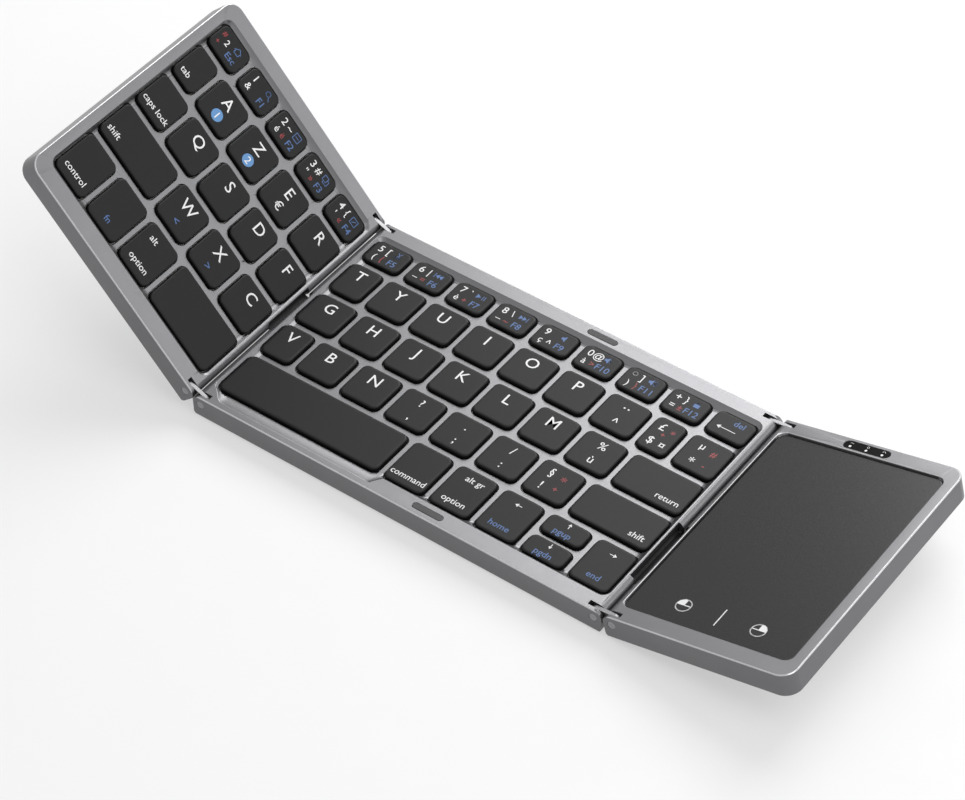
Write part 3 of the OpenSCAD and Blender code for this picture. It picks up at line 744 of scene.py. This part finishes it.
def shifted(points, dx, scale=1.0):
    return [(px * scale + dx, py) for px, py in points]


SPEAKER = [(-0.9, -0.3), (-0.5, -0.3), (0, -0.8), (0, 0.8), (-0.5, 0.3), (-0.9, 0.3)]
# Each mark is its filled outlines and its drawn lines, in units of half its width
ICONS = {
    "home": ([], [[(-0.7, -0.1), (-0.7, -0.8), (0.7, -0.8), (0.7, -0.1)],
                  [(-1, -0.1), (0, 0.85), (1, -0.1)]]),
    "find": ([], [arc(-0.2, 0.25, 0.55, 0, 360, 16), [(0.2, -0.15), (0.85, -0.85)]]),
    "page": ([], [box_line(-0.8, 0.8, -0.8, 0.8), [(-0.4, 0), (0.4, 0)]]),
    "copy": ([], [box_line(-0.8, 0.3, -0.4, 0.8),
                  [(-0.3, -0.4), (-0.3, -0.85), (0.85, -0.85), (0.85, 0.3), (0.3, 0.3)]]),
    "paste": ([], [box_line(-0.8, 0.8, -0.8, 0.7), [(-0.35, -0.4), (0.35, 0.3)]]),
    "cut": ([], [arc(-0.45, -0.6, 0.28, 0, 360, 12), arc(0.45, -0.6, 0.28, 0, 360, 12),
                 [(-0.3, -0.35), (0.4, 0.85)], [(0.3, -0.35), (-0.4, 0.85)]]),
    "back": ([shifted(TRIANGLE, -0.45, -0.8), shifted(TRIANGLE, 0.35, -0.8)],
             [[(-1.05, -0.55), (-1.05, 0.55)]]),
    "play": ([shifted(TRIANGLE, -0.5)], [[(0.4, -0.5), (0.4, 0.5)], [(0.85, -0.5), (0.85, 0.5)]]),
    "next": ([shifted(TRIANGLE, -0.4, 0.8), shifted(TRIANGLE, 0.4, 0.8)], [[(1.0, -0.55), (1.0, 0.55)]]),
    "quiet": ([SPEAKER], []),
    "softer": ([SPEAKER], [arc(0, 0, 0.45, -50, 50, 6)]),
    "louder": ([SPEAKER], [arc(0, 0, 0.45, -50, 50, 6), arc(0, 0, 0.85, -50, 50, 8)]),
    "lock": ([[(-0.6, -0.8), (0.6, -0.8), (0.6, 0.1), (-0.6, 0.1)]], [arc(0, 0.1, 0.38, 0, 180, 8)]),
    "arrow_left": ([[(-1, 0), (-0.1, 0.62), (-0.1, -0.62)]], [[(-0.2, 0), (0.95, 0)]]),
    "arrow_right": ([[(1, 0), (0.1, -0.62), (0.1, 0.62)]], [[(0.2, 0), (-0.95, 0)]]),
    "arrow_up": ([[(0, 1), (-0.62, 0.1), (0.62, 0.1)]], [[(0, 0.2), (0, -0.95)]]),
    "arrow_down": ([[(0, -1), (0.62, -0.1), (-0.62, -0.1)]], [[(0, -0.2), (0, 0.95)]]),
    "ring": ([], [arc(0, 0.15, 0.28, 0, 360, 14)]),
    "dots": ([circle(-0.75, 0, 0.32, 12), circle(0.75, 0, 0.32, 12)], []),
    "long_left": ([[(-1, 0), (-0.62, 0.24), (-0.62, -0.24)]], [[(-0.65, 0), (1, 0)]]),
}


def letter(words):
    return [("white", words, -0.2, 2.6, 4.1)]


def pair(upper, lower, x=0.2):
    return [("white", upper, x, 3.2, 3.0), ("white", lower, x, -3.2, 3.0)]


def number(main, extra, lower, mark, icon, name):
    """A key of the number row: three white signs, a red one, and a blue sign over its name."""
    return [("white", main, -3.8, 2.0, 2.7), ("white", extra, -0.8, 2.0, 2.6),
            ("white", lower, -3.8, -2.0, 2.4), ("red", mark, -0.9, -2.0, 2.2),
            ("blue", "*" + icon, 2.9, 2.1, 1.65), ("blue", name, 3.0, -2.0, 2.4)]


def word(words, x, y, ink="white"):
    return (ink, words, x, y, 2.2)


# Each key's marks: ink, a word or a star and a mark's name, place from the key's middle, and height
LEGENDS = {
    "keys_numbers_left": [
        [("white", "2", -1.9, 0.4, 2.3), ("red", "#", -4.6, 2.0, 1.9), ("red", "+", -4.6, -2.0, 1.9),
         ("blue", "*home", 2.4, 1.9, 1.5), ("blue", "Esc", 2.3, -2.0, 2.3)],
        number("1", "", "&", "", "find", "F1"),
        number("2", "~", "é", "ë", "page", "F2"),
        number("3", "#", "\"", "»", "copy", "F3"),
        number("4", "{", "'", "«", "paste", "F4"),
    ],
    "keys_upper_left": [
        letter("A") + [("blue", "*disc1", 0.1, -3.3, 2.2)],
        letter("Z") + [("blue", "*disc2", 0.1, -3.3, 2.2)],
        letter("E") + [("white", "€", 0.2, -3.4, 3.2)],
        letter("R"),
    ],
    "keys_home_left": [letter(c) for c in "QSDF"],
    "keys_lower_left": [
        letter("W") + [("blue", "<", 0, -3.7, 2.6)],
        letter("X") + [("blue", ">", 0, -3.7, 2.6)],
        letter("C"),
    ],
    "key_tab": [[word("tab", -1.5, -3.7)]],
    "key_caps_lock": [[word("caps lock", 0.1, -3.7)]],
    "key_shift_left": [[word("shift", -9.6, -3.6)]],
    "key_control": [[word("control", -0.3, -4.9)]],
    "key_fn": [[word("fn", 0, -4.9, "blue")]],
    "key_option_left": [[word("alt", -2.4, 4.5), word("option", -0.2, -4.9)]],
    "keys_numbers_centre": [
        number("5", "[", "(", "{", "cut", "F5"),
        number("6", "|", "–", "=", "back", "F6"),
        number("7", "`", "è", "+", "play", "F7"),
        number("8", "\\", "–", "~", "next", "F8"),
        number("9", "", "ç", "", "quiet", "F9") + [("white", "^", -0.9, -2.2, 2.6)],
        number("0", "@", "à", ">", "softer", "F10"),
        number("*ring", "]", ")", "}", "louder", "F11"),
        number("+", "}", "=", "±", "lock", "F12"),
    ],
    "key_backspace": [[word("del", 1.8, 2.3, "blue"), ("white", "*long_left", -1.0, -1.4, 3.3)]],
    "keys_upper_centre": [letter(c) for c in "TYUIOP"] + [
        [("white", "*dots", 0.2, 3.2, 1.0), ("white", "^", 0.2, -3.2, 3.0)],
        [("white", "£", -1.6, 3.3, 2.9), ("white", "$", -1.8, -3.2, 2.9), ("white", "¤", 2.4, -3.4, 2.6),
         ("red", "*", 2.4, 2.2, 2.6), ("red", "+", 0.2, 0.4, 2.0)],
        [("white", "µ", -2.2, 3.6, 2.6), ("white", "*", -2.0, -3.6, 3.2), ("red", "#", 2.4, 2.4, 2.3),
         ("red", "-", 2.4, -3.2, 2.3)],
    ],
    "keys_home_centre": [letter(c) for c in "GHJKLM"] + [pair("%", "ù", 0.4)],
    "key_return": [[word("return", 6.2, -3.6)]],
    "keys_lower_centre": [letter(c) for c in "VBN"] + [
        pair("?", ","), pair(".", ";"), pair("/", ":"),
        [("white", "§", -2.4, 3.1, 2.9), ("white", "!", -2.4, -3.1, 3.0), ("red", "*", 2.2, 1.6, 3.2),
         ("red", "+", 2.2, -2.4, 2.2)],
    ],
    "key_shift_right": [[word("shift", 8.7, -3.6)]],
    "key_command": [[word("command", 0.1, -5.0)]],
    "key_alt_gr": [[word("alt gr", 0.9, 4.9), word("option", 0.1, -5.0)]],
    "key_arrow_left": [[("white", "*arrow_left", 0, 4.8, 1.2), word("home", -0.1, -5.0, "blue")]],
    "key_arrow_up": [[("white", "*arrow_up", 0.2, 1.9, 1.0), word("pgup", -0.1, -1.6, "blue")]],
    "key_arrow_down": [[("white", "*arrow_down", 0.2, 1.9, 1.0), word("pgdn", -0.1, -1.6, "blue")]],
    "key_arrow_right": [[("white", "*arrow_right", 0.5, 4.8, 1.2), word("end", 0.2, -5.0, "blue")]],
}


def add_mark(bm, words, x, y, size, z):
    """Draws a word, or the mark whose name follows a star."""
    if words[:1] != "*" or len(words) == 1:
        add_text(bm, words, x, y, size, z)
        return
    fills, lines = ICONS[words[1:]]
    for outline in fills:
        add_fill(bm, outline, x, y, size, z)
    for line in lines:
        add_line(bm, line, x, y, size, z)


def build_legends(place, node):
    layers = {}
    z = cap_top + ink_t / 2
    for box, marks in zip(KEY_BOXES[node], LEGENDS.get(node, [])):
        middle = ((box[0] + box[1]) / 2, (box[2] + box[3]) / 2)
        for ink, words, dx, dy, size in marks:
            if not words:
                continue
            x, y = middle[0] + dx, middle[1] + dy
            if words.startswith("*disc"):
                add_fill(layers.setdefault("badge", bmesh.new()), circle(0, 0, 1), x, y, size, z)
                add_text(layers.setdefault("white", bmesh.new()), words[-1], x, y, badge_sign, z + ink_t)
                continue
            add_mark(layers.setdefault(ink, bmesh.new()), words, x, y, size, z)
    for ink, bm in layers.items():
        piece = to_object(bm, node + "_marks_" + ink, [INK[ink]])
        settle(piece, place, body=node)


# ---------- rims, underside and hinges ----------

def build_pill(name, place, boxes, z0, z1, edge, material, replaces):
    """Round-ended pads; edge is the radius of their upper edge, or of the lower one if it is negative."""
    bm = bmesh.new()
    steps = [math.radians(15 * k) for k in range(7)]
    for box in boxes:
        r = min(box[1] - box[0], box[3] - box[2]) / 2
        size = abs(edge)
        arcs = [(size * (1 - math.cos(a)), size * (1 - math.sin(a))) for a in steps]
        if edge > 0:
            line = [(0, z0)] + [(inset, z1 - drop) for inset, drop in arcs]
        else:
            line = [(0, z1)] + [(inset, z0 + drop) for inset, drop in arcs]
        loft(bm, [oblong(box, -inset, r, z, 12) for inset, z in line])
    bmesh.ops.remove_doubles(bm, verts=bm.verts, dist=1e-5)
    settle(to_object(bm, name, [material]), place, replaces)


def build_underside(place):
    feet = place + "_feet"
    low, high = local_box(feet, place)[4:]
    build_pill(feet + "_soft", place, solids_of(feet, place), low, high, -0.25, RUBBER, [feet])


def build_bumpers():
    low, high = local_box("centre_bumpers", "centre")[4:]
    build_pill("rim_bumpers", "centre", solids_of("centre_bumpers", "centre"), low, high, 0.3, BUMPER,
               ["centre_bumpers"])


def build_pins(place, ends):
    """Pins with a flat round head in a seat of the cheek and a small centre mark."""
    node = place + "_hinge_pins"
    head_r = seat_r - seat_play
    bm = bmesh.new()
    for x in ends:
        for side in (-1, 1):
            outer = side * (half_d - 0.03)
            line = [(0.02, 0.14), (0.4, 0.14), (0.5, 0.0), (head_r - 0.1, 0.0), (head_r, 0.08),
                    (head_r, seat_depth - 0.05), (pin_r, seat_depth - 0.05), (pin_r, pin_length)]
            loft(bm, [[(x + r * math.cos(a), outer - side * sink, pin_z + r * math.sin(a)) for a in TURN]
                      for r, sink in line])
    piece = to_object(bm, node + "_turned", [PIN_STEEL])
    settle(piece, place, [node])


# Cut edges of a link: growth of its outline, and depth below its face
LINK_EDGE = ((-0.12, -0.02), (0.06, 0.16))


def build_links(side):
    place = side + "_link"
    node = side + "_hinge_links"
    piece = copy_of(node, place, node + "_plates", LINK_STEEL)
    bm = bmesh.new()
    x0, x1, _, _, z0, z1 = local_box(node, place)
    for _, _, low, high in solids_of(node, place):
        edges = [(grow, low + depth) for grow, depth in LINK_EDGE]
        edges += [(grow, high - depth) for grow, depth in reversed(LINK_EDGE)]
        loops = []
        for grow, y in edges:
            flat = oblong((x0, x1, z0, z1), grow, (z1 - z0) / 2, 0, 12)
            loops.append([(px, y, pz) for px, pz, _ in flat])
        loft(bm, loops)
    carve(piece, bm, "INTERSECT", EDGE)
    settle(piece, place, [node])


# ---------- touchpad, window and controls ----------

pad_play = 0.2
# Printed signs of the touchpad: two rings, each at x and with a quarter filled from an angle on, and
# a short upright line between them
ring_places = ((19.3, 90), (45.1, 0))
sign_y = -34.5
ring_r = 2.4
upright_x = 32
upright_half = 3.4


def build_touchpad():
    x0, x1, y0, y1, _, z1 = local_box("touchpad", "right")
    box = (x0, x1, y0, y1)
    bm = bmesh.new()
    line = [(0, z1 - 1.2), (0, z1 - 0.3), (0.06, z1 - 0.12), (0.2, z1 - 0.03), (0.42, z1)]
    loft(bm, [oblong(box, -inset, well_r - pad_play, z, 10) for inset, z in line])
    piece = to_object(bm, "touchpad_plate", [PAD])
    settle(piece, "right", ["touchpad"], body="touchpad")

    z = z1 + ink_t / 2
    bm = bmesh.new()
    for x, filled in ring_places:
        for line in (arc(0, 0, 1, 0, 360, 40), [(-1, 0.05), (1, 0.05)], [(0, 0.05), (0, 1)]):
            add_line(bm, line, x, sign_y, ring_r, z, 0.34)
        quarter = [(0, 0.05)] + arc(0, 0, 1, filled, filled + 90, 12)
        add_fill(bm, quarter, x, sign_y, ring_r, z + ink_t * 0.4)
    add_line(bm, [(0, -1), (0, 1)], upright_x, sign_y, upright_half, z, 0.36)
    settle(to_object(bm, "touchpad_marks", [INK["white"]]), "right", body="touchpad")


lamp_pitch = 5.6
lamp_r = 0.42
lamp_y = -0.6
lamp_sign_y = 0.9
lamp_sign = 0.8
# Sign over each lamp, from left to right: its line and the line's width
LAMP_SIGNS = (([(-0.5, 0), (0.5, 0)], 0.16), (arc(0, 0, 0.5, 0, 360, 10), 0.14),
              ([(-0.6, -0.2), (0, 0.3), (0.6, -0.2)], 0.16))


def build_window():
    x0, x1, y0, y1, z0, z1 = local_box("indicator_window", "right")
    top = z1 + 0.02
    build_pill("lamp_window", "right", [(x0, x1, y0, y1)], z0, top, 0.22, WINDOW,
               ["indicator_window"])
    middle, y = (x0 + x1) / 2, (y0 + y1) / 2
    z = top + ink_t / 2
    places = [middle + k * lamp_pitch for k in (-1, 0, 1)]
    bm = bmesh.new()
    for x in places:
        add_fill(bm, circle(0, 0, 1, 16), x, y + lamp_y, lamp_r, z)
    for x, (line, width) in zip(places, LAMP_SIGNS):
        add_line(bm, line, x, y + lamp_sign_y, lamp_sign, z, width)
    settle(to_object(bm, "lamp_marks", [INK["white"]]), "right")


ribs = 5
rib_foot = 0.06
rib_slope = 0.2


def build_switch():
    """Sliding knob with grip ribs."""
    x0, x1, y0, y1, z0, z1 = local_box("power_switch", "right")
    bm = bmesh.new()
    pitch = (x1 - x0) / ribs
    line = [(x0, y0)]
    for k in range(ribs):
        start, end = x0 + k * pitch, x0 + (k + 1) * pitch
        line += [(start + rib_foot, y1 - rib_slope), (start + rib_slope, y1),
                 (end - rib_slope, y1), (end - rib_foot, y1 - rib_slope)]
    line += [(x1, y0)]
    loft(bm, [[(x, y, z) for x, y in line] for z in (z0, z1)])
    piece = to_object(bm, "switch_knob", [KNOB])
    settle(piece, "right", ["power_switch"], body="power_switch")


# Contact tongue in the charging port: its gaps to the port's ends, back and mouth, and its edge as
# growth and height from the middle
tongue_side = 1.5
tongue_back = 0.5
tongue_mouth = 1.2
TONGUE_LINE = ((-0.1, -0.3), (0, -0.2), (0, 0.2), (-0.1, 0.3))


def build_port_tongue():
    x0, x1, y0, y1, z0, z1 = local_box("charging_port", "right")
    bm = bmesh.new()
    box = (x0 + tongue_side, x1 - tongue_side, y0 + tongue_back, y1 - tongue_mouth)
    loft(bm, [oblong(box, grow, 0.3, (z0 + z1) / 2 + rise, 4) for grow, rise in TONGUE_LINE])
    settle(to_object(bm, "port_tongue", [KNOB]), "right")


# ---------- flexible circuits through the hinges ----------

FILM = grained("flex_film", (0.012, 0.012, 0.013), 0.45, grain=1200, bump=0.05, depth=0.02,
               Specular_IOR_Level=0.2)
flex_t = 0.16
# How far the film lies under the pins: between them, and at its ends inside the panels
flex_low = 1.08
flex_low_end = 0.2
# Along the film from a pin: its end in the panel, the level part between the pins, and the bending part
flex_reach = 0.9
flex_level = 1.3
# Length of the curve's handles, on the level side and on the panel's side
flex_handles = (0.2, 0.9)


def build_flex(side):
    """Two halves that meet between the pins and pass under them, each curving from there into its own panel.
    """
    node = side + "_flex"
    link = side + "_link"
    y0, y1 = local_box(node, link)[2:4]
    turn = 1 if side == "right" else -1
    first, last = pin_a[side] / MM, pin_b[side] / MM
    along = (last - first).normalized()
    below = along.cross(Vector((0, 1, 0))) * -turn
    middle = (first + last) / 2 + below * flex_low
    for number, (pin, panel, way) in enumerate(((first, "centre", -1), (last, side, 1))):
        turned = FRAMES[panel].to_3x3()
        inward = turned @ Vector((way * turn, 0, 0))
        start = pin - along * way * flex_level + below * flex_low
        end = pin + inward * flex_reach + turned @ Vector((0, 0, -flex_low_end))
        bends = (start, start + along * way * flex_handles[0], end - inward * flex_handles[1], end)
        line = [middle]
        for t in (k / 12 for k in range(13)):
            shares = ((1 - t) ** 3, 3 * t * (1 - t) ** 2, 3 * t * t * (1 - t), t ** 3)
            line.append(sum((point * share for point, share in zip(bends, shares)), Vector()))
        loops = []
        for k, point in enumerate(line):
            ahead = (line[min(k + 1, len(line) - 1)] - line[max(k - 1, 0)]).normalized()
            across = Vector((-ahead.z, 0, ahead.x)) * flex_t / 2
            loops.append([(point.x + s * across.x, y, point.z + s * across.z)
                          for s, y in ((-1, y0), (1, y0), (1, y1), (-1, y1))])
        bm = bmesh.new()
        loft(bm, loops)
        piece = to_object(bm, node + "_half_" + str(number), [FILM])
        piece.data.transform(Matrix.Scale(MM, 4))
        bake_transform(piece)
        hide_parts(node)


# ---------- carried-over nodes ----------

def finish_nodes():
    """Every node that still shows takes its own material."""
    for name, node in NODES.items():
        if node.hide_render:
            continue
        finishes = [NODE_FINISHES[ending] for ending in NODE_FINISHES if name.endswith(ending)]
        material = finishes[0] if finishes else PLATE
        node.data.materials.clear()
        node.data.materials.append(material)


# ---------- floor, light and camera ----------

# Share of the floor's look that is plain white paper; the rest takes the light and the shadow
floor_glow = 0.5


def seen_or_mirrored(nodes, links):
    """1 where the camera looks, straight or by way of a glossy or clear surface."""
    path = nodes.new("ShaderNodeLightPath")
    total = path.outputs["Is Camera Ray"]
    for ray in ("Is Glossy Ray", "Is Transmission Ray"):
        add = nodes.new("ShaderNodeMath")
        add.use_clamp = True
        links.new(total, add.inputs[0])
        links.new(path.outputs[ray], add.inputs[1])
        total = add.outputs["Value"]
    return total


def build_floor():
    size = 6.0
    corners = [(-size, -size, 0), (size, -size, 0), (size, size, 0), (-size, size, 0)]
    mesh = bpy.data.meshes.new("floor")
    mesh.from_pydata(corners, [], [(0, 1, 2, 3)])
    floor = bpy.data.objects.new("floor", mesh)
    bpy.context.scene.collection.objects.link(floor)
    material = grained("floor_pale", (0.9, 0.9, 0.9), 0.6, grain=40, bump=0.02, depth=0.2, spread=0.004)
    mesh.materials.append(material)
    nodes, links = material.node_tree.nodes, material.node_tree.links
    glow = nodes.new("ShaderNodeEmission")
    glow.inputs["Strength"].default_value = 1
    share = nodes.new("ShaderNodeMath")
    share.operation = "MULTIPLY"
    share.inputs[1].default_value = floor_glow
    mix = nodes.new("ShaderNodeMixShader")
    links.new(seen_or_mirrored(nodes, links), share.inputs[0])
    links.new(share.outputs["Value"], mix.inputs["Fac"])
    links.new(nodes["Principled BSDF"].outputs["BSDF"], mix.inputs[1])
    links.new(glow.outputs["Emission"], mix.inputs[2])
    links.new(mix.outputs["Shader"], nodes["Material Output"].inputs["Surface"])


def aim(thing, target):
    thing.rotation_mode = "QUATERNION"
    thing.rotation_quaternion = (Vector(target) - thing.location).to_track_quat("-Z", "Y")


def softbox(name, place, size, radiance):
    """A square lamp at a place in metres that faces the object."""
    data = bpy.data.lights.new(name, "AREA")
    data.shape = "SQUARE"
    data.size = size
    data.energy = radiance * math.pi * size * size
    lamp = bpy.data.objects.new(name, data)
    lamp.location = place
    aim(lamp, (0, 0, 0))
    bpy.context.scene.collection.objects.link(lamp)


def build_light():
    softbox("rear_softbox", (-0.10, 0.72, 0.72), 0.7, 4.6)
    softbox("low_softbox", (-0.38, 0.83, 0.50), 0.3, 3.8)
    softbox("right_softbox", (0.84, 0.62, 0.36), 0.6, 1.6)
    softbox("overhead_softbox", (0.72, -0.13, 1.08), 0.8, 2.2)
    world = bpy.data.worlds.new("studio")
    bpy.context.scene.world = world
    world.use_nodes = True
    nodes, links = world.node_tree.nodes, world.node_tree.links
    back = nodes["Background"]
    back.inputs["Color"].default_value = (0.9, 0.9, 0.92, 1)
    back.inputs["Strength"].default_value = 0.38
    seen = nodes.new("ShaderNodeBackground")
    seen.inputs["Color"].default_value = (1, 1, 1, 1)
    mix = nodes.new("ShaderNodeMixShader")
    links.new(seen_or_mirrored(nodes, links), mix.inputs["Fac"])
    links.new(back.outputs["Background"], mix.inputs[1])
    links.new(seen.outputs["Background"], mix.inputs[2])
    links.new(mix.outputs["Shader"], nodes["World Output"].inputs["Surface"])


# Camera found from the photograph: place in the row frame and the directions of its axes
CAMERA_PLACE = (0.4051, -0.5347, 0.6916)
CAMERA_RIGHT = (0.8051, 0.5929, -0.0150)
CAMERA_DOWN = (0.4138, -0.5796, -0.7020)
CAMERA_AHEAD = (-0.4249, 0.5590, -0.7120)
focal_px = 3127.5
picture_w = 965
sensor_w = 36


def build_camera():
    data = bpy.data.cameras.new("camera")
    data.sensor_width = sensor_w
    data.lens = focal_px / picture_w * sensor_w
    camera = bpy.data.objects.new("camera", data)
    axes = [Vector(CAMERA_RIGHT), -Vector(CAMERA_DOWN), -Vector(CAMERA_AHEAD)]
    turned = Matrix([axis.normalized() for axis in axes]).transposed().to_4x4()
    camera.matrix_world = Matrix.Translation(CAMERA_PLACE) @ turned
    bpy.context.scene.collection.objects.link(camera)
    bpy.context.scene.camera = camera
    bpy.context.scene.view_settings.view_transform = "Standard"


# ---------- making it ----------

for place in ("centre", "left", "right"):
    build_case(place)
    build_underside(place)
    levers = shells_of(place + "_scissors", place) if KEYS[place] else []
    for node in KEYS[place]:
        build_caps(place, node)
        build_legends(place, node)
        build_springs(place, node, levers)
    if KEYS[place]:
        build_film(place)
build_bumpers()
build_pins("centre", (-half_w + pin_in, half_w - pin_in))
build_pins("left", (-pin_in,))
build_pins("right", (pin_in,))
for side in ("left", "right"):
    build_links(side)
    build_flex(side)
build_touchpad()
build_window()
build_switch()
build_port_tongue()
finish_nodes()
build_floor()
build_light()
build_camera()
